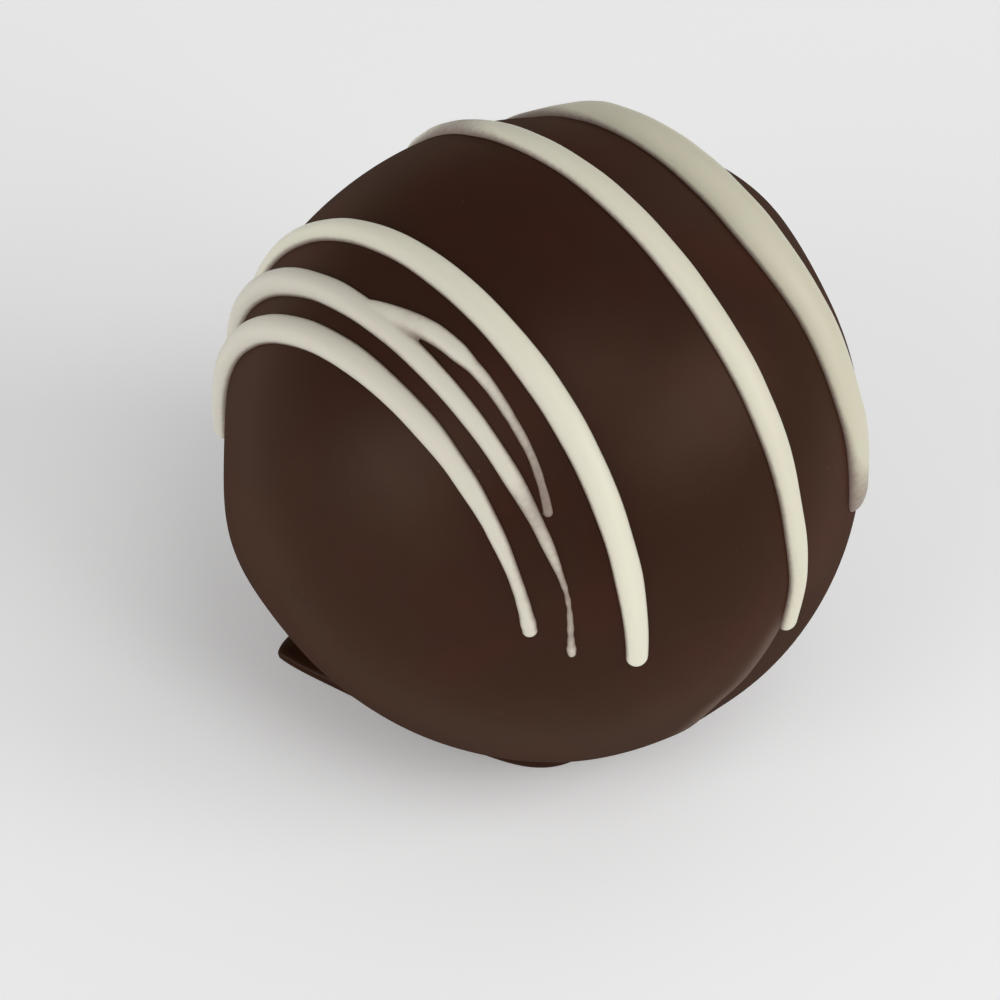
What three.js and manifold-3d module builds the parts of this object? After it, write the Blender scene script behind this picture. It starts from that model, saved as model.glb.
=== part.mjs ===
// A dipped chocolate truffle: a hand-rolled ball that stands on the thin foot where its
// coating pooled, with six strands of white chocolate drizzled over the top.
// Millimetres and degrees, +Z up, origin at the middle of the flat underside.
import * as THREE from "three";
import { mergeVertices } from "three/addons/utils/BufferGeometryUtils.js";
import Module from "manifold-3d";

// The ball
const ballRadius = 14;
const centreHeight = 12.2;
const ballDetail = 13;
const flatClearance = 0.1; // the ball is cut flat this far above the underside, inside the foot

// Where the ball swells (+) or is pressed in (-). Azimuth runs from +X towards +Y.
const swells = [
  { azimuth: 201, latitude: -22, spread: 8.5, rise: 0.27 },
  { azimuth: 190, latitude: -8, spread: 13, rise: -0.25 },
  { azimuth: 152, latitude: 27, spread: 20, rise: -0.14 },
  { azimuth: 49, latitude: 40, spread: 9.5, rise: 0.27 },
  { azimuth: 27, latitude: 42, spread: 7.5, rise: -0.28 },
  { azimuth: 222, latitude: -25, spread: 5.5, rise: -0.17 },
  { azimuth: 18, latitude: 17, spread: 18, rise: -0.16 },
  { azimuth: 235, latitude: -43, spread: 13, rise: -0.14 },
  { azimuth: -93, latitude: -46, spread: 13, rise: -0.1 },
  { azimuth: -53, latitude: -42, spread: 14, rise: 0.07 },
  { azimuth: 105, latitude: -10, spread: 24, rise: 0.15 },
  { azimuth: 60, latitude: -35, spread: 18, rise: -0.16 },
];

// The foot: a thin skirt whose rim runs out into lobes. A low power makes a lobe pointed.
const footRadius = 7.1;
const footThickness = 0.45;
const rimRounding = 0.15;
const filletWidth = 1.6;
const filletHeight = 1.1;
const filletSteps = 3;
const footSegments = 80;
const lobes = [
  { azimuth: 203, spread: 18, reach: 3.1, power: 1.25 },
  { azimuth: 187, spread: 6.5, reach: -0.5, power: 2 },
  { azimuth: -66, spread: 21, reach: 0.95, power: 2 },
  { azimuth: 18, spread: 21, reach: 0.5, power: 2 },
  { azimuth: 98, spread: 34, reach: 0.9, power: 2 },
];

// The drizzle. Each strand lies on a circle of the ball, in a plane that stands nearly
// upright: heading and lean give the plane's normal, and offset its distance from the
// ball's centre. from and to are angles along the circle, 0 at its top and positive
// towards -Y. The lists are evenly spaced from one end of the strand to the other: its
// widths, its rises (height over width) and how far it drifts sideways from the circle.
const strandSides = 10;
const strandSteps = 34;
const endEasing = 0.78; // draws the steps closer together at both ends
const buriedDepth = 0.45;
const strands = [
  { heading: 49.8, lean: 9.4, offset: -9.34, from: -101, to: 73.3,
    widths: [1.1, 1.19, 1.28, 1.3, 1.3, 1.28, 1.25, 1.2, 1.13, 0.98, 0.75, 0.57, 0.69],
    rises: [0.55, 0.55, 0.44, 0.42, 0.42],
    drifts: [0, 0, 0, 0, -0.08, -0.12, -0.15, -0.11, -0.12, -0.15, -0.2] },
  { heading: 48.5, lean: 11.6, offset: -7.44, from: -101, to: 79.4,
    widths: [0.8, 1.1, 1.25, 1.3, 1.3, 1.25, 1.15, 1, 0.9, 0.84, 0.56, 0.23, 0.38],
    rises: [0.55, 0.55, 0.44, 0.42, 0.42],
    drifts: [0, 0, 0, 0, -0.04, -0.1, -0.15, -0.12, -0.12, -0.12, -0.64] },
  { heading: 56.1, lean: -10.5, offset: -10.73, from: -31.5, to: 57.6,
    widths: [0.85, 0.95, 1, 0.95, 0.88, 0.6, 0.51, 0.43, 0.38, 0.37, 0.42],
    rises: [0.42, 0.42], drifts: [-0.09, -0.13, 0.07, 0.03, -0.05, 0.04, 0.02] },
  { heading: 49.7, lean: 5.3, offset: -5.93, from: -93, to: 87.5,
    widths: [0.8, 1, 1.08, 1.2, 1.31, 1.38, 1.36, 1.22, 0.97],
    rises: [0.45, 0.47, 0.43, 0.42, 0.42],
    drifts: [0, 0, 0, 0, -0.05, -0.1, -0.12, -0.09, -0.08, -0.06, 0.02] },
  { heading: 50.5, lean: 5.7, offset: 1.97, from: -94, to: 95,
    widths: [0.9, 1.05, 1.15, 1.38, 1.43, 1.43, 1.42, 1.17, 0.92],
    rises: [0.36, 0.36, 0.38, 0.42, 0.42],
    drifts: [1.3, 1.22, 1.14, 0.6, 0.29, 0.08, 0, 0, -0.03, -0.05, -0.05, 0.03, 0.07, 0.03, 0.08, -0.26] },
  { heading: 50.1, lean: 11.3, offset: 8.65, from: -96, to: 89.3,
    widths: [1.2, 1.6, 2, 2.35, 2.75, 2.7, 2.35, 2.2, 2],
    rises: [0.12, 0.13, 0.18, 0.4, 0.35, 0.39, 0.37, 0.32, 0.26],
    drifts: [-2.4, -2.4, -1.9, -0.65, -0.33, -0.43, -0.15, -0.45, -1.45] },
];
const mergeDistance = 1e-4;

const up = new THREE.Vector3(0, 0, 1);
const radians = THREE.MathUtils.degToRad;

function direction(azimuth, latitude) {
  return new THREE.Vector3().setFromSphericalCoords(1, radians(90 - latitude), radians(90 + azimuth))
    .applyAxisAngle(new THREE.Vector3(1, 0, 0), Math.PI / 2);
}

// A bell-shaped bump of height 1 that fades over an angle of spread.
function bell(angle, spread) {
  return Math.exp(-0.5 * (angle / radians(spread)) ** 2);
}

const swellCentres = swells.map((s) => direction(s.azimuth, s.latitude));

// How far the coated surface lies from the ball's centre in a direction.
function surfaceRadius(towards) {
  return swells.reduce(
    (sum, s, i) => sum + s.rise * bell(towards.angleTo(swellCentres[i]), s.spread),
    ballRadius,
  );
}

// The coated ball about its own centre, cut flat underneath.
function ballGeometry() {
  const geometry = new THREE.IcosahedronGeometry(1, ballDetail);
  const lowest = flatClearance - centreHeight;
  return moveVertices(geometry, (point) => {
    point.normalize();
    point.multiplyScalar(surfaceRadius(point));
    point.z = Math.max(point.z, lowest);
  });
}

// The rim's distance from the axis at an azimuth.
function rimRadius(azimuth) {
  return lobes.reduce((sum, lobe) => {
    const centre = radians(lobe.azimuth);
    const away = Math.acos(Math.cos(azimuth - centre));
    return sum + lobe.reach * Math.exp(-((away / radians(lobe.spread)) ** lobe.power));
  }, footRadius);
}

// The foot, with its underside on the floor: a turned disc whose rim is drawn out into lobes.
function footGeometry() {
  const edge = footRadius - rimRounding;
  const flat = footRadius - filletWidth;
  const profile = [[0, 0], [edge, 0], [footRadius, footThickness / 2]];
  for (let i = 0; i <= filletSteps; i++) {
    const t = i / filletSteps;
    profile.push([THREE.MathUtils.lerp(edge, flat, t), footThickness + filletHeight * t * t]);
  }
  profile.push([0, footThickness + filletHeight]);
  const points = profile.map(([radius, height]) => new THREE.Vector2(radius, height));
  const geometry = new THREE.LatheGeometry(points, footSegments).rotateX(Math.PI / 2);
  return moveVertices(geometry, (point) => {
    const radius = Math.hypot(point.x, point.y);
    if (radius <= flat) return;
    const reach = rimRadius(Math.atan2(point.y, point.x)) - footRadius;
    const stretched = radius + reach * (radius - flat) / filletWidth;
    point.x *= stretched / radius;
    point.y *= stretched / radius;
  });
}

// Reads a value off a list of evenly spaced ones, smoothly.
function along(values, t) {
  const place = t * (values.length - 1);
  const i = Math.min(Math.floor(place), values.length - 2);
  return THREE.MathUtils.lerp(values[i], values[i + 1], THREE.MathUtils.smoothstep(place - i, 0, 1));
}

// A strand: a sphere's rings are laid along the circle, from one pole to the other, and
// each ring becomes a rounded section that stands on the ball and is sunk a little into it.
function strandGeometry(strand) {
  const normal = direction(strand.heading, strand.lean);
  const top = up.clone().addScaledVector(normal, -normal.z).normalize();
  const front = new THREE.Vector3().crossVectors(normal, top);
  const middle = strand.offset / ballRadius;
  const circleRadius = Math.sqrt(1 - middle * middle);
  const length = radians(strand.to - strand.from) * circleRadius * ballRadius;
  const geometry = new THREE.SphereGeometry(1, strandSides, strandSteps);
  return moveVertices(geometry, (point) => {
    const ring = Math.acos(THREE.MathUtils.clamp(point.y, -1, 1)) / Math.PI;
    const around = Math.atan2(point.z, point.x);
    const t = ring - endEasing * Math.sin(2 * Math.PI * ring) / (2 * Math.PI);
    const half = along(strand.widths, t) / 2;
    const fromEnd = Math.min(t, 1 - t) * length / half;
    const size = fromEnd >= 1 ? 1 : Math.sqrt(Math.max(0, 1 - (1 - fromEnd) ** 2));
    const angle = radians(THREE.MathUtils.lerp(strand.from, strand.to, t));
    const shift = along(strand.drifts, t) / ballRadius;
    const centre = normal.clone().multiplyScalar(middle + shift)
      .addScaledVector(top, circleRadius * Math.cos(angle))
      .addScaledVector(front, circleRadius * Math.sin(angle))
      .normalize();
    const sideways = normal.clone().addScaledVector(centre, -normal.dot(centre)).normalize();
    const raised = Math.sin(around) > 0 ? 2 * half * along(strand.rises, t) : buriedDepth;
    point.copy(centre).multiplyScalar(surfaceRadius(centre) + raised * size * Math.sin(around))
      .addScaledVector(sideways, half * size * Math.cos(around));
  });
}

// Moves every vertex of a geometry by a rule, and merges the vertices that meet.
function moveVertices(geometry, rule) {
  geometry.deleteAttribute("normal");
  geometry.deleteAttribute("uv");
  const merged = mergeVertices(geometry, mergeDistance);
  const position = merged.getAttribute("position");
  const point = new THREE.Vector3();
  for (let i = 0; i < position.count; i++) {
    point.fromBufferAttribute(position, i);
    rule(point);
    position.setXYZ(i, point.x, point.y, point.z);
  }
  return merged;
}

const wasm = await Module();
wasm.setup();

// Makes a closed geometry a solid, turned right side out.
function solid(geometry, lift = 0) {
  const clean = mergeVertices(geometry.translate(0, 0, lift), mergeDistance);
  const facing = (corners) => new wasm.Manifold(new wasm.Mesh({
    numProp: 3,
    vertProperties: clean.getAttribute("position").array,
    triVerts: new Uint32Array(corners),
  }));
  const made = facing(clean.index.array);
  return made.volume() > 0 ? made : facing([...clean.index.array].reverse());
}

function geometryOf(manifold) {
  const mesh = manifold.getMesh();
  return new THREE.BufferGeometry()
    .setAttribute("position", new THREE.BufferAttribute(mesh.vertProperties, 3))
    .setIndex(new THREE.BufferAttribute(mesh.triVerts, 1));
}

let coated = solid(ballGeometry(), centreHeight).add(solid(footGeometry()));
for (const strand of strands) coated = coated.add(solid(strandGeometry(strand), centreHeight));

const geometry = geometryOf(coated);
geometry.computeVertexNormals();

const darkChocolate = new THREE.MeshStandardMaterial({ color: 0x3b2820, roughness: 0.42, metalness: 0 });
const truffle = new THREE.Mesh(geometry, darkChocolate);
truffle.name = "truffle";

const group = new THREE.Group();
group.add(truffle);

export default group;
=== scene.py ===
import math
import bmesh
import bpy
from mathutils import Matrix, Vector, noise


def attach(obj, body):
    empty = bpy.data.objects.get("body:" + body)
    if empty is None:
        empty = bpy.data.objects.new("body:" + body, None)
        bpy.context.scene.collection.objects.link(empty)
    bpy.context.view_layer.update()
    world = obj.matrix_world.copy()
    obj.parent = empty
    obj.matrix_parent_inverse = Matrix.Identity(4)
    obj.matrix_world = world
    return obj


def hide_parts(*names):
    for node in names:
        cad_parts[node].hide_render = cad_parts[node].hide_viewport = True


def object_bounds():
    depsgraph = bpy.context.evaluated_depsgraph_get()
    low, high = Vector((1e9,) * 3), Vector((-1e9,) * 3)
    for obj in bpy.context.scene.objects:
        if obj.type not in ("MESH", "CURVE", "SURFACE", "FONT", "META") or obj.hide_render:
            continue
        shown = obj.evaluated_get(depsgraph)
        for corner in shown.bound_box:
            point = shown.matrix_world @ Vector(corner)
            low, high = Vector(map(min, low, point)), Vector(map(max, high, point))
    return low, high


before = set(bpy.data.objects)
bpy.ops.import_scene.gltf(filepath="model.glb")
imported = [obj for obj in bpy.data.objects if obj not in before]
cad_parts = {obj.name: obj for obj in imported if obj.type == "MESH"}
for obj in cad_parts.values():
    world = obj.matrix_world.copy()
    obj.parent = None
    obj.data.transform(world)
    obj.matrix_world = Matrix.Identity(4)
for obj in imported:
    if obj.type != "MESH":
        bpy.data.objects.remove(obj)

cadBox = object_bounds()
metresPerMm = 0.001

ball = {
    "radius": 14.0,
    "centreHeight": 12.2,
    # azimuth, latitude, spread, rise of each place that swells (+) or is pressed in (-)
    "swells": [
        (201, -22, 8.5, 0.27), (190, -8, 13, -0.25), (152, 27, 20, -0.14), (49, 40, 9.5, 0.27),
        (27, 42, 7.5, -0.28), (222, -25, 5.5, -0.17), (18, 17, 18, -0.16), (235, -43, 13, -0.14),
        (-93, -46, 13, -0.1), (-53, -42, 14, 0.07), (105, -10, 24, 0.15), (60, -35, 18, -0.16),
    ],
    "waves": (5.0, 0.035),  # size and height of the hand-rolled unevenness
}


def direction(azimuth, latitude):
    turn, tilt = math.radians(azimuth), math.radians(latitude)
    return Vector((math.cos(tilt) * math.cos(turn), math.cos(tilt) * math.sin(turn), math.sin(tilt)))


def bell(distance, spread):
    return math.exp(-0.5 * (distance / spread) ** 2)


def smooth(low, high, value):
    t = min(max((value - low) / (high - low), 0), 1)
    return t * t * (3 - 2 * t)


def between(start, end, t):
    return start + (end - start) * t


# Reads a value off a list of evenly spaced ones.
def along(values, t):
    place = min(max(t, 0), 1) * (len(values) - 1)
    i = min(int(place), len(values) - 2)
    return between(values[i], values[i + 1], smooth(0, 1, place - i))


swellCentres = [(direction(azimuth, latitude), math.radians(spread), rise)
                for azimuth, latitude, spread, rise in ball["swells"]]
ballCentre = Vector((0, 0, ball["centreHeight"]))


# How far the coating lies from the ball's middle in a direction, without its fine relief.
def coatingRadius(towards):
    size, height = ball["waves"]
    wave = height * noise.noise(towards * ball["radius"] / size + Vector((3.1, 7.7, 1.9)))
    return ball["radius"] + wave + sum(
        rise * bell(towards.angle(centre), spread) for centre, spread, rise in swellCentres)


# Turns a finished bmesh, in millimetres, into a piece that rides on the truffle.
def addPiece(name, bm, finish):
    bmesh.ops.recalc_face_normals(bm, faces=bm.faces)
    bmesh.ops.scale(bm, vec=Vector((1, 1, 1)) * metresPerMm, verts=bm.verts)
    for face in bm.faces:
        face.smooth = True
    mesh = bpy.data.meshes.new(name)
    bm.to_mesh(mesh)
    bm.free()
    piece = bpy.data.objects.new(name, mesh)
    bpy.context.collection.objects.link(piece)
    mesh.materials.append(finish)
    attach(piece, "root")
    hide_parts("truffle")
    triangles = sum(len(polygon.vertices) - 2 for polygon in mesh.polygons)
    print(f"{name}: {triangles} triangles")


# The camera, at the photograph's angle
camera = {
    "elevation": 42.0,
    "roll": 12.0,  # the truffle leans this far to the right in the picture
    "lens": 300.0,
    "sensor": 36.0,
    "picture": 1000,  # pixels across
    "ballAt": (541.9, 439.6),  # pixel of the ball's middle
    "ballPixels": 322.9,  # the ball's radius in the picture
    "clip": (0.01, 10),
}


def makeCamera(settings):
    pixel = ball["radius"] / settings["ballPixels"]
    distance = settings["lens"] / settings["sensor"] * settings["picture"] * pixel
    tilt = math.radians(settings["elevation"])
    back = Vector((0, -math.cos(tilt), math.sin(tilt)))
    levelUp = Vector((0, math.sin(tilt), math.cos(tilt)))
    up = Matrix.Rotation(math.radians(settings["roll"]), 3, back) @ levelUp
    right = up.cross(back)
    across = (settings["picture"] / 2 - settings["ballAt"][0]) * pixel
    upwards = (settings["ballAt"][1] - settings["picture"] / 2) * pixel
    place = ballCentre + back * distance + right * across + up * upwards
    data = bpy.data.cameras.new("camera")
    data.lens = settings["lens"]
    data.sensor_width = settings["sensor"]
    data.clip_start, data.clip_end = settings["clip"]
    made = bpy.data.objects.new("camera", data)
    bpy.context.collection.objects.link(made)
    made.matrix_world = (Matrix.Translation(place * metresPerMm)
                         @ Matrix((right, up, back)).transposed().to_4x4())
    bpy.context.scene.camera = made


makeCamera(camera)
print("camera placed")


# Shader maths: a wire is a socket that can be used in a Python expression.
class Wire:
    def __init__(self, nodes, socket):
        self.nodes, self.socket = nodes, socket

    def maths(self, operation, *values):
        return self.nodes.node("ShaderNodeMath", {"operation": operation}, dict(enumerate(values)))

    def __add__(self, other):
        return self.maths("ADD", self, other)

    def __radd__(self, other):
        return self.maths("ADD", other, self)

    def __sub__(self, other):
        return self.maths("SUBTRACT", self, other)

    def __rsub__(self, other):
        return self.maths("SUBTRACT", other, self)

    def __mul__(self, other):
        return self.maths("MULTIPLY", self, other)

    def __rmul__(self, other):
        return self.maths("MULTIPLY", other, self)


class Nodes:
    def __init__(self, tree):
        self.tree = tree

    # Adds a node: first its settings, then the values or links of its sockets.
    def node(self, kind, settings=None, sockets=None, output=0):
        made = self.tree.nodes.new(kind)
        for name, value in (settings or {}).items():
            setattr(made, name, value)
        for name, value in (sockets or {}).items():
            self.feed(made.inputs[name], value)
        return Wire(self, made.outputs[output])

    def feed(self, socket, value):
        if isinstance(value, Wire):
            self.tree.links.new(value.socket, socket)
        else:
            socket.default_value = value

    # 0 where a value is below low, 1 where it is above high.
    def ramp(self, value, low, high):
        return self.node("ShaderNodeMapRange", {"interpolation_type": "SMOOTHSTEP"}, {
            "Value": value, "From Min": low, "From Max": high})

    def blend(self, share, first, second):
        return self.node("ShaderNodeMix", {"data_type": "RGBA"}, {
            "Factor": share, 6: colour(first), 7: colour(second)}, output=2)


def colour(value):
    return (*value, 1) if isinstance(value, tuple) else value


speckCore = 0.4  # the share of a speck's radius that has its full colour


# A material. Its patterns lie on Object coordinates.
class Finish(Nodes):
    def __init__(self, name):
        self.material = bpy.data.materials.new(name)
        self.material.use_nodes = True
        super().__init__(self.material.node_tree)
        self.shader = self.tree.nodes["Principled BSDF"]
        self.place = self.node("ShaderNodeTexCoord", output="Object")

    # Noise whose lumps are about size millimetres across, as a value round 0.5.
    def grain(self, size, detail, seed):
        return self.node("ShaderNodeTexNoise", {"noise_dimensions": "4D"}, {
            "Vector": self.place, "W": seed, "Scale": 1 / (size * metresPerMm), "Detail": detail})

    # 1 in round specks of a radius, one in each cell of about spacing, and 0 between them.
    def specks(self, radius, spacing, seed):
        away = self.node("ShaderNodeTexVoronoi", {"voronoi_dimensions": "4D"}, {
            "Vector": self.place, "W": seed, "Scale": 1 / (spacing * metresPerMm)}, output="Distance")
        edge = radius / spacing
        return 1 - self.ramp(away, speckCore * edge, edge)

    def attribute(self, name):
        return self.node("ShaderNodeAttribute", {"attribute_name": name}, output="Fac")

    # A value that runs unevenly between two ends. The grain is its lump size, detail and seed.
    def uneven(self, ends, grain):
        low, high = ends
        return low + (high - low) * self.grain(*grain)

    # Relief of two grains. Each has its height in millimetres, lump size, detail and seed.
    def relief(self, grains):
        coarse, fine = (self.grain(*grain) * height for height, *grain in grains)
        bump = self.node("ShaderNodeBump", None, {"Height": coarse + fine, "Distance": metresPerMm})
        self.feed(self.shader.inputs["Normal"], bump)
        return bump

    # Lays a tinted gloss over the surface, more of it where it is seen at a slant.
    def glaze(self, look, share, roughness, bump):
        gloss = self.node("ShaderNodeBsdfPrincipled", None, {
            "Base Color": colour(look["glossTint"]), "Metallic": 1.0,
            "Specular Tint": colour(look["edgeTint"]), "Roughness": roughness, "Normal": bump})
        slant = self.node("ShaderNodeFresnel", None, {"IOR": look["refraction"], "Normal": bump})
        most = look["mostSlant"]
        slant = slant.maths("SMOOTH_MIN", slant, most, look["slantEasing"] * most)
        mixed = self.node("ShaderNodeMixShader", None, {
            0: share * slant, 1: Wire(self, self.shader.outputs[0]), 2: gloss})
        self.feed(self.tree.nodes["Material Output"].inputs["Surface"], mixed)

    def set(self, sockets):
        for name, value in sockets.items():
            self.feed(self.shader.inputs[name], value)


coatingLook = {
    "brown": (0.0288, 0.0095, 0.0051),
    "redder": (0.039, 0.0088, 0.0054),
    "paler": (0.0325, 0.0125, 0.0068),
    "speck": (0.080, 0.050, 0.038),
    "runHighlight": (0.135, 0.098, 0.083),  # painted highlight along the crest of the run, and a little beyond it
    # how much of each colour lies over the brown where its pattern is strongest
    "shares": {"redder": 0.8, "paler": 0.4, "speck": 0.7, "dust": 0.8, "facet": 0.2, "crestHighlight": 0.9},
    # lump size, detail and seed of the redder patches and the paler clouds
    "patches": (5.5, 2, 1.3),
    "patchEdge": (0.45, 0.7),
    "clouds": (2.6, 4, 4.1),
    "cloudEdge": (0.45, 0.75),
    # radius, spacing and seed of the specks, and of the dust in the clouds
    "specks": (0.08, 0.9, 7.7),
    "dust": (0.045, 0.34, 2.6),
    "roughness": (0.38, 0.48),
    "roughGrain": (1.4, 3, 2.2),
    # height, lump size, detail and seed
    "relief": [(0.01, 1.1, 3, 3.5), (0.004, 0.12, 2, 5.5)],
    "gloss": 0.37,
    "facetDullness": 0.7,  # how much of its gloss the coating beyond the run has lost
    "refraction": 1.6,
    "mostSlant": 0.14,  # keeps the ball's edge from shining
    "slantEasing": 0.6,
    "glossTint": (1.0, 0.74, 0.56),  # seen straight on
    "edgeTint": (1.0, 0.95, 0.9),  # seen at a slant
}


def coatingFinish(look):
    finish = Finish("dark_chocolate")
    shares = look["shares"]
    patches = finish.ramp(finish.grain(*look["patches"]), *look["patchEdge"])
    clouds = finish.ramp(finish.grain(*look["clouds"]), *look["cloudEdge"])
    brown = finish.blend(patches * shares["redder"], look["brown"], look["redder"])
    brown = finish.blend(clouds * shares["paler"], brown, look["paler"])
    brown = finish.blend(finish.specks(*look["specks"]) * shares["speck"], brown, look["speck"])
    brown = finish.blend(finish.specks(*look["dust"]) * clouds * shares["dust"], brown, look["speck"])
    facet = finish.attribute("facet")
    # Painted highlight: a light colour that stands in for a reflection along the run's crest, and faintly
    # over the facet beyond it.
    brown = finish.blend(facet * shares["facet"], brown, look["runHighlight"])
    brown = finish.blend(finish.attribute("crestHighlight") * shares["crestHighlight"], brown, look["runHighlight"])
    roughness = finish.uneven(look["roughness"], look["roughGrain"])
    finish.set({"Base Color": brown, "Specular IOR Level": 0.0, "Roughness": roughness})
    bump = finish.relief(look["relief"])
    gloss = look["gloss"] * (1 - look["facetDullness"] * facet)
    finish.glaze(look, gloss, roughness, bump)
    return finish.material


drizzleLook = {
    "ivory": (0.88, 0.845, 0.69),
    # painted shade: the strands towards the ball's left and right sides are darker and greyer than the ivory
    # in the middle
    "left": (0.755, 0.715, 0.605),
    "right": (0.715, 0.678, 0.52),
    "across": (0.643, 0.766, 0),  # the way the strands follow each other, left to right
    # distances that way, in metres, over which left turns to ivory and ivory to right
    "leftTurn": (-0.0085, -0.0068),
    "rightTurn": (-0.003, 0.008),
    "thin": (0.27, 0.20, 0.165),  # where the coating shows through, and painted shade in the fork's crotch
    # thickness up to which it shows fully, and from which the white chocolate hides it
    "cover": (0.02, 0.27),
    "mottle": 0.09,  # how much thinner or thicker the white chocolate looks in places
    "mottleGrain": (0.25, 3, 3.3),
    "roughness": (0.38, 0.5),
    "roughGrain": (0.9, 3, 6.2),
    "relief": [(0.012, 0.8, 2, 8.4), (0.005, 0.15, 2, 2.9)],
    "gloss": 0.4,
    "softness": 0.2,
    "softReach": 0.0006,  # metres that light runs under the surface
    "softTint": (1.0, 0.75, 0.5),
}


def drizzleFinish(look):
    finish = Finish("white_chocolate")
    mottle = (finish.grain(*look["mottleGrain"]) - 0.5) * look["mottle"]
    cover = finish.ramp(finish.attribute("depth") + mottle, *look["cover"])
    across = finish.node("ShaderNodeVectorMath", {"operation": "DOT_PRODUCT"}, {
        0: finish.place, 1: look["across"]}, output="Value")
    # Painted shade: the ivory turns darker towards the left and right strands.
    ivory = finish.blend(finish.ramp(across, *look["leftTurn"]), look["left"], look["ivory"])
    ivory = finish.blend(finish.ramp(across, *look["rightTurn"]), ivory, look["right"])
    finish.set({"Base Color": finish.blend(cover, look["thin"], ivory), "Specular IOR Level": look["gloss"],
                "Roughness": finish.uneven(look["roughness"], look["roughGrain"]),
                "Subsurface Weight": look["softness"], "Subsurface Radius": look["softTint"],
                "Subsurface Scale": look["softReach"]})
    finish.relief(look["relief"])
    return finish.material


darkChocolate = coatingFinish(coatingLook)
whiteChocolate = drizzleFinish(drizzleLook)
print("finishes made")

coating = {
    "segments": 320,
    "ringStep": 1.0,  # degrees between the rings of the ball
    "nearFloor": 2.2,  # the height below which rings are closer together
    "footRings": 34,
    "underRings": 10,
    "footTop": 0.34,  # the height from which the foot's top runs up into the ball
    "fillet": 0.95,  # how far above footTop it ends
    "filletPower": 2.2,
    "rim": 7.1,  # the foot's radius between its lobes
    "rimRounding": 0.12,
    "roundedHeight": 1.5,  # how high the rounding reaches, in roundings
    "lowest": 0.2,  # the least share of its height that a point near the floor keeps
    # azimuth, spread, reach and power of each lobe of the foot; a low power makes it pointed
    "lobes": [(203, 18, 3.1, 1.25), (187, 6.5, -0.5, 2), (-66, 21, 0.95, 2), (18, 21, 0.5, 2),
              (98, 34, 0.9, 2)],
    # the run of coating at the lower right: latitude and azimuth of its line
    "run": [(-2, -33.9), (-14.4, -38.9), (-19.2, -42.3), (-23.7, -43.4), (-34, -43)],
    "runField": ((-45, 6), (-80, 0)),  # the latitudes and azimuths between which it acts
    "runEnds": ((4, -5), (-40, -30)),  # the latitudes over which it fades out
    "runHeight": 0.03,
    "runWidth": 0.3,
    "runStep": 0.16,  # how much lower the coating lies beyond the run
    # how far beyond the line the step and the dull facet set in, and over what they fade
    "runDrop": (0.5, 1.9),
    "runFacet": (0.3, 2.5),
    "runCrest": (0.45, 0.19),  # how far its painted highlight line fades, on either side
    # azimuth, latitude, radius and height of small bumps (+) and a pit (-)
    "marks": [(108, 54, 0.5, 0.09), (-162.4, 3.4, 0.3, 0.06), (-87.6, -16.6, 0.2, -0.02)],
    # where the mesh is finer: latitudes and distance along the run, and radii round a mark
    "fineLatitudes": (-41, 3),
    "fineDistance": 0.85,
    "fineRadii": 2.6,
    "fineCuts": 2,
}
contactRadius = math.sqrt(ball["radius"] ** 2 - ball["centreHeight"] ** 2)
closeness = 1e-4  # points nearer than this are one


def rimRadius(azimuth):
    rim = coating["rim"]
    for centre, spread, reach, power in coating["lobes"]:
        away = abs((azimuth - centre + 180) % 360 - 180)
        rim += reach * math.exp(-(away / spread) ** power)
    return rim


# The line of the run, read at a latitude.
def runAzimuth(latitude):
    line = coating["run"]
    for (high, first), (low, second) in zip(line, line[1:]):
        if latitude >= low or low == line[-1][0]:
            return between(first, second, (high - latitude) / (high - low))


# The distance from the run's line, in millimetres, positive beyond it.
def besideRun(azimuth, latitude):
    return math.radians(azimuth - runAzimuth(latitude)) * math.cos(math.radians(latitude)) * ball["radius"]


def nearRun(azimuth, latitude):
    (low, high), (first, last) = coating["runField"]
    return low < latitude < high and first < azimuth < last


# The run fades out towards both ends.
def runFade(latitude):
    upper, lower = coating["runEnds"]
    return smooth(*upper, latitude) * smooth(*lower, latitude)


# What sets in beyond the run's line and fades again.
def beyondRun(side, onset, spread):
    return smooth(0, onset, side) * bell(side, spread)


# The run stands a little proud along its line, and the coating beyond it lies lower.
def runRelief(azimuth, latitude):
    if not nearRun(azimuth, latitude):
        return 0
    side = besideRun(azimuth, latitude)
    bead = coating["runHeight"] * bell(side, coating["runWidth"])
    step = coating["runStep"] * beyondRun(side, *coating["runDrop"])
    return (bead - step) * runFade(latitude)


def markRelief(towards):
    return sum(height * bell(towards.angle(direction(azimuth, latitude)) * ball["radius"], radius)
               for azimuth, latitude, radius, height in coating["marks"])


# Moves a point of the turned blank onto the uneven coating and its foot.
def shapeCoating(point):
    azimuth = math.degrees(math.atan2(point.y, point.x))
    rim = rimRadius(azimuth)
    if point.z < closeness:
        return point * ((rim - coating["rimRounding"]) / contactRadius)
    towards = (point - ballCentre).normalized()
    latitude = math.degrees(math.asin(towards.z))
    reach = coatingRadius(towards) + runRelief(azimuth, latitude) + markRelief(towards)
    moved = ballCentre + towards * reach
    moved.z = max(moved.z, point.z * coating["lowest"])
    spill = (1 - smooth(0, 1, (moved.z - coating["footTop"]) / coating["fillet"])) ** coating["filletPower"]
    nearFloor = 1 - min(moved.z / (coating["roundedHeight"] * coating["rimRounding"]), 1)
    rounding = coating["rimRounding"] * (1 - math.sqrt(1 - nearFloor ** 2))
    flat = Vector((moved.x, moved.y, 0))
    push = (max(rim - flat.length, 0) - rounding) * spill
    return moved + flat.normalized() * push


# The latitude and azimuth of a point of the ball.
def placeOf(point):
    towards = (point - ballCentre).normalized()
    return math.degrees(math.asin(towards.z)), math.degrees(math.atan2(towards.y, towards.x))


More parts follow.
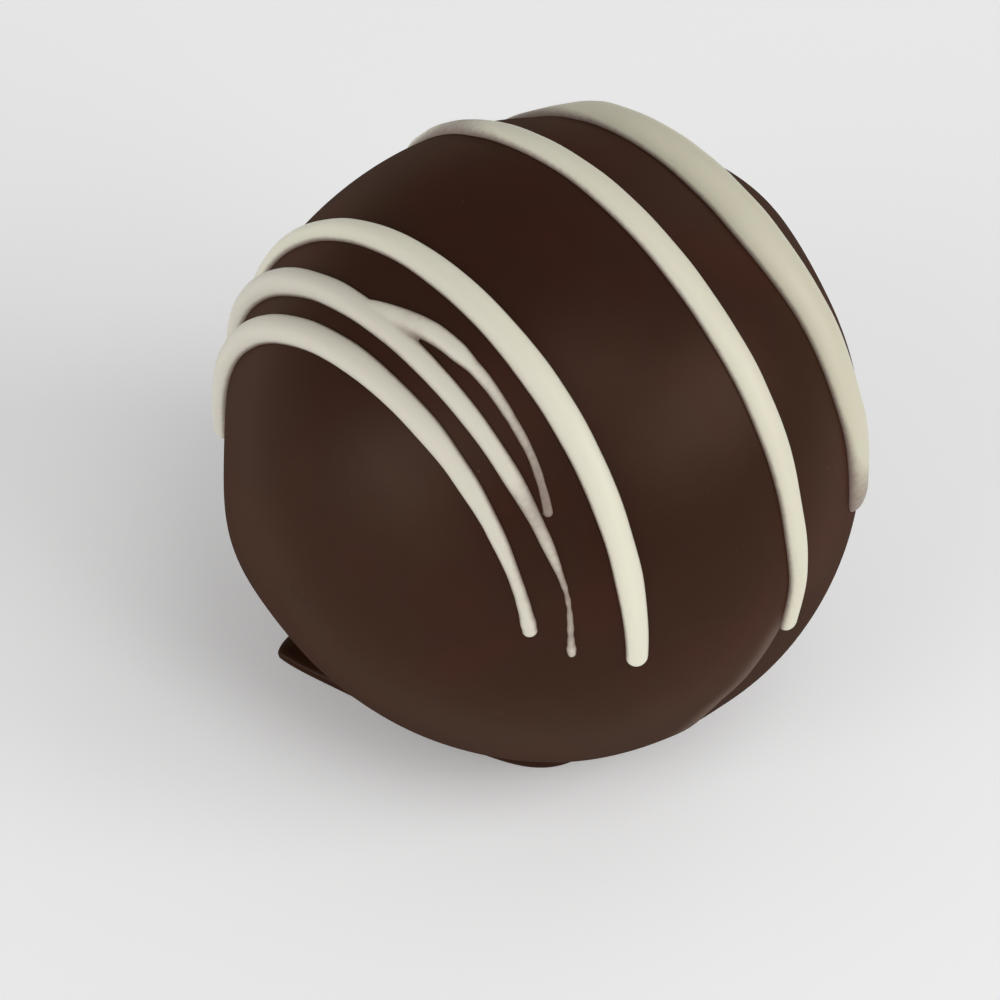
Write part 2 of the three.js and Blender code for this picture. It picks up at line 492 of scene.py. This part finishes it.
def needsDetail(point):
    towards = (point - ballCentre).normalized()
    latitude, azimuth = placeOf(point)
    low, high = coating["fineLatitudes"]
    if low < latitude < high and abs(besideRun(azimuth, latitude)) < coating["fineDistance"]:
        return True
    return any(towards.angle(direction(across, up)) * ball["radius"] < coating["fineRadii"] * radius
               for across, up, radius, _ in coating["marks"])


def makeCoating():
    radius, height = ball["radius"], ball["centreHeight"]
    start = math.degrees(math.acos((coating["nearFloor"] - height) / radius))
    end = math.degrees(math.acos(-height / radius))
    rings = round(start / coating["ringStep"])
    angles = [between(0, start, i / rings) for i in range(rings)]
    angles += [between(start, end, i / coating["footRings"]) for i in range(coating["footRings"])]
    profile = [Vector((radius * math.sin(math.radians(a)), 0, height + radius * math.cos(math.radians(a))))
               for a in angles]
    profile += [Vector((contactRadius * (1 - i / coating["underRings"]), 0, 0))
                for i in range(coating["underRings"] + 1)]
    bm = bmesh.new()
    corners = [bm.verts.new(point) for point in profile]
    edges = [bm.edges.new(pair) for pair in zip(corners, corners[1:])]
    bmesh.ops.spin(bm, geom=corners + edges, cent=(0, 0, 0), axis=(0, 0, 1), dvec=(0, 0, 0),
                   angle=math.tau, steps=coating["segments"], use_merge=True)
    bmesh.ops.remove_doubles(bm, verts=bm.verts, dist=closeness)
    near = [e for e in bm.edges if needsDetail((e.verts[0].co + e.verts[1].co) / 2)]
    bmesh.ops.subdivide_edges(bm, edges=near, cuts=coating["fineCuts"], use_grid_fill=True)
    crestHighlight = bm.verts.layers.float.new("crestHighlight")
    facet = bm.verts.layers.float.new("facet")
    before, beyond = coating["runCrest"]
    for vert in bm.verts:
        latitude, azimuth = placeOf(vert.co)
        if nearRun(azimuth, latitude):
            side = besideRun(azimuth, latitude)
            # where the painted highlight lies along the run's crest, and faintly over the facet
            vert[crestHighlight] = bell(side, beyond if side > 0 else before) * runFade(latitude)
            vert[facet] = beyondRun(side, *coating["runFacet"]) * runFade(latitude)
        vert.co = shapeCoating(vert.co)
    addPiece("coating", bm, darkChocolate)


makeCoating()

# The drizzle. Each strand lies on a circle of the ball whose plane stands nearly upright:
# heading and lean give the plane's normal, offset its distance from the ball's middle.
# ends are angles along the circle, 0 at its top and positive towards the front. The lists
# are evenly spaced from end to end: widths, rises (height over width) and sideways drifts.
# crinkle is where along the strand it grows beady, and how much.
drizzle = {
    "section": 1.12,  # 1 makes the section an ellipse, more makes its edges thinner
    "buried": 0.3,
    "sides": 28,
    "steps": 260,
    "easing": 0.78,  # draws the steps closer together at both ends
    "unevenness": 0.05,
    "unevenLength": 2.2,
    "beadLength": 0.42,
    "beadOnset": 0.06,  # the share of the strand over which its beads set in
    # azimuth, latitude, radius and share of each place where the coating shows through more; the one beside
    # the fork's crotch is painted shade in its crease
    "thin": [(142, 48, 3, 0.25), (119, 49.5, 2.5, 0.8), (-6, 9, 2.3, 0.85), (-87, 31.5, 1.3, 0.5),
             (-134, 48.5, 1.1, 0.45)],
    "fork": {
        "voxel": 0.055,
        "crotch": (-128, 48.4),  # azimuth and latitude of the place where the branch leaves
        "softened": 1.9,  # radius round the crotch
        "rounds": 6,
        "smoothing": 0.5,
    },
    "strands": {
        "drizzle_left": [{
            "heading": 49.8, "lean": 9.4, "offset": -9.34, "ends": (-101, 73.3), "crinkle": (0.9, 0.12),
            "widths": [1.1, 1.19, 1.28, 1.3, 1.3, 1.28, 1.25, 1.2, 1.13, 0.98, 0.75, 0.57, 0.69],
            "rises": [0.55, 0.55, 0.44, 0.42, 0.42],
            "drifts": [0, 0, 0, 0, -0.08, -0.12, -0.15, -0.11, -0.12, -0.15, -0.2],
        }],
        "drizzle_fork": [{
            "heading": 48.5, "lean": 11.6, "offset": -7.44, "ends": (-101, 79.4), "crinkle": (0.86, 0.5),
            "widths": [0.8, 1.1, 1.25, 1.3, 1.3, 1.25, 1.15, 1, 0.9, 0.84, 0.56, 0.23, 0.38],
            "rises": [0.55, 0.55, 0.44, 0.42, 0.42],
            "drifts": [0, 0, 0, 0, -0.04, -0.1, -0.15, -0.12, -0.12, -0.12, -0.64],
        }, {
            "heading": 56.1, "lean": -10.5, "offset": -10.73, "ends": (-31.5, 57.6), "crinkle": (0.55, 0.07),
            "widths": [0.85, 0.95, 1, 0.95, 0.88, 0.6, 0.51, 0.43, 0.38, 0.37, 0.42],
            "rises": [0.42, 0.42, 0.41, 0.36, 0.32], "drifts": [-0.09, -0.13, 0.07, 0.03, -0.05, 0.04, 0.02],
        }],
        "drizzle_middle": [{
            "heading": 49.7, "lean": 5.3, "offset": -5.93, "ends": (-93, 87.5), "crinkle": (1, 0),
            "widths": [0.8, 1, 1.08, 1.2, 1.31, 1.38, 1.36, 1.22, 0.97],
            "rises": [0.45, 0.47, 0.43, 0.42, 0.42],
            "drifts": [0, 0, 0, 0, -0.05, -0.1, -0.12, -0.09, -0.08, -0.06, 0.02],
        }],
        "drizzle_right": [{
            "heading": 50.5, "lean": 5.7, "offset": 1.97, "ends": (-94, 95), "crinkle": (1, 0),
            "widths": [0.9, 1.05, 1.15, 1.38, 1.43, 1.43, 1.42, 1.17, 0.92],
            "rises": [0.36, 0.36, 0.38, 0.42, 0.42],
            "drifts": [1.3, 1.22, 1.14, 0.6, 0.29, 0.08, 0, 0, -0.03, -0.05, -0.05, 0.03, 0.07, 0.03, 0.08,
                       -0.26],
        }],
        "drizzle_broad": [{
            "heading": 50.1, "lean": 11.3, "offset": 8.65, "ends": (-96, 89.3), "crinkle": (1, 0),
            "widths": [1.2, 1.6, 2, 2.35, 2.75, 2.7, 2.35, 2.2, 2],
            "rises": [0.12, 0.13, 0.18, 0.4, 0.35, 0.39, 0.37, 0.32, 0.26],
            "drifts": [-2.4, -2.4, -1.9, -0.65, -0.33, -0.43, -0.15, -0.45, -1.45],
        }],
    },
}
thinPlaces = [(direction(azimuth, latitude), radius, share)
              for azimuth, latitude, radius, share in drizzle["thin"]]


# Lays a ball's rings along the strand's circle, from one end to the other.
def layStrand(bm, strand):
    radius = ball["radius"]
    normal = direction(strand["heading"], strand["lean"])
    top = (Vector((0, 0, 1)) - normal * normal.z).normalized()
    front = normal.cross(top)
    middle = strand["offset"] / radius
    circle = math.sqrt(1 - middle * middle)
    start, end = strand["ends"]
    length = math.radians(end - start) * circle * radius
    beadStart, beading = strand["crinkle"]
    made = bmesh.ops.create_uvsphere(bm, u_segments=drizzle["sides"], v_segments=drizzle["steps"], radius=1)
    for vert in made["verts"]:
        ring = math.acos(max(-1, min(1, vert.co.z))) / math.pi
        around = math.atan2(vert.co.y, vert.co.x)
        t = ring - drizzle["easing"] * math.sin(math.tau * ring) / math.tau
        step = Vector((t * length, strand["offset"], 0))
        onset = smooth(beadStart, beadStart + drizzle["beadOnset"], t)
        beads = beading * onset * noise.noise(step / drizzle["beadLength"])
        lumps = drizzle["unevenness"] * noise.noise(step / drizzle["unevenLength"])
        half = along(strand["widths"], t) / 2 * (1 + lumps + beads)
        fromEnd = min(t, 1 - t) * length / half
        size = 1 if fromEnd >= 1 else math.sqrt(max(0, 1 - (1 - fromEnd) ** 2))
        angle = math.radians(between(start, end, t))
        shift = along(strand["drifts"], t) / radius
        centre = (normal * (middle + shift) + top * (circle * math.cos(angle))
                  + front * (circle * math.sin(angle))).normalized()
        sideways = (normal - centre * normal.dot(centre)).normalized()
        out = math.sin(around)
        if out > 0:
            lift = 2 * half * along(strand["rises"], t) * size * out ** drizzle["section"]
        else:
            lift = drizzle["buried"] * size * out
        vert.co = (ballCentre + centre * (coatingRadius(centre) + lift)
                   + sideways * (half * size * math.cos(around)))


# Makes one skin of strands that run into each other, and rounds the crotch between them.
def fuseStrands(bm):
    fork = drizzle["fork"]
    mesh = bpy.data.meshes.new("blank")
    bm.to_mesh(mesh)
    bm.free()
    blank = bpy.data.objects.new("blank", mesh)
    bpy.context.collection.objects.link(blank)
    remesh = blank.modifiers.new("fuse", "REMESH")
    remesh.mode = "VOXEL"
    remesh.voxel_size = fork["voxel"]
    fused = bmesh.new()
    fused.from_object(blank, bpy.context.evaluated_depsgraph_get())
    bpy.data.objects.remove(blank)
    bpy.data.meshes.remove(mesh)
    crotch = ballCentre + direction(*fork["crotch"]) * ball["radius"]
    near = [v for v in fused.verts if (v.co - crotch).length < fork["softened"]]
    for verts in [fused.verts] + [near] * fork["rounds"]:
        bmesh.ops.smooth_vert(fused, verts=verts, factor=fork["smoothing"],
                              use_axis_x=True, use_axis_y=True, use_axis_z=True)
    return fused


def makeDrizzle(name, strands):
    bm = bmesh.new()
    for strand in strands:
        layStrand(bm, strand)
    if len(strands) > 1:
        bm = fuseStrands(bm)
    depth = bm.verts.layers.float.new("depth")
    for vert in bm.verts:
        fromCentre = vert.co - ballCentre
        towards = fromCentre.normalized()
        # These places lower the depth, which also paints shade into the fork's crotch.
        lost = sum(share * bell(towards.angle(centre) * ball["radius"], radius)
                   for centre, radius, share in thinPlaces)
        vert[depth] = max(0, fromCentre.length - coatingRadius(towards)) * max(0, 1 - lost)
    addPiece(name, bm, whiteChocolate)


for name, strands in drizzle["strands"].items():
    makeDrizzle(name, strands)
print("drizzle laid")

# A plain pale floor and soft light
studio = {
    "floorSize": 4.0,
    "floorGap": 0.00002,  # metres that the floor lies below the foot
    "floor": (0.86, 0.86, 0.86),
    "floorRoughness": 0.9,
    "floorGloss": 0.1,
    "floorGlow": 0.27,
    "around": (0.277, 0.277, 0.277),
    # name: azimuth, elevation, distance and size in metres, and how bright it makes white card
    "lights": {
        "left": (-137, 5, 0.5, 0.32, 0.295),
        "leftHigh": (-120, 35, 0.5, 0.22, 0.1),
        "right": (0, 35, 0.5, 0.26, 0.22),
        "rightFront": (-34, 35, 0.5, 0.24, 0.16),
        "top": (-60, 65, 0.5, 0.26, 0.12),
        "back": (65, 35, 0.5, 0.3, 0.05),
    },
}


def makeFloor():
    bm = bmesh.new()
    bmesh.ops.create_grid(bm, x_segments=4, y_segments=4, size=studio["floorSize"] / 2)
    bmesh.ops.translate(bm, verts=bm.verts, vec=(0, 0, cadBox[0].z - studio["floorGap"]))
    mesh = bpy.data.meshes.new("floor")
    bm.to_mesh(mesh)
    bm.free()
    floor = bpy.data.objects.new("floor", mesh)
    bpy.context.collection.objects.link(floor)
    finish = Finish("floor")
    finish.set({"Base Color": colour(studio["floor"]), "Roughness": studio["floorRoughness"],
                "Specular IOR Level": studio["floorGloss"], "Emission Color": colour(studio["floor"]),
                "Emission Strength": studio["floorGlow"]})
    mesh.materials.append(finish.material)


def makeLights():
    for name, (azimuth, elevation, distance, size, brightness) in studio["lights"].items():
        data = bpy.data.lights.new(name, "AREA")
        data.shape = "DISK"
        data.size = size
        data.energy = brightness * math.pi ** 2 * distance ** 2
        light = bpy.data.objects.new(name, data)
        bpy.context.collection.objects.link(light)
        towards = direction(azimuth, elevation)
        light.location = ballCentre * metresPerMm + towards * distance
        light.rotation_euler = towards.to_track_quat("Z", "Y").to_euler()


def makeWorld():
    world = bpy.data.worlds.new("studio")
    bpy.context.scene.world = world
    world.use_nodes = True
    nodes = Nodes(world.node_tree)
    nodes.feed(world.node_tree.nodes["Background"].inputs["Color"], colour(studio["around"]))


makeFloor()
makeLights()
makeWorld()
bpy.context.scene.view_settings.view_transform = "Standard"
print("studio lit")
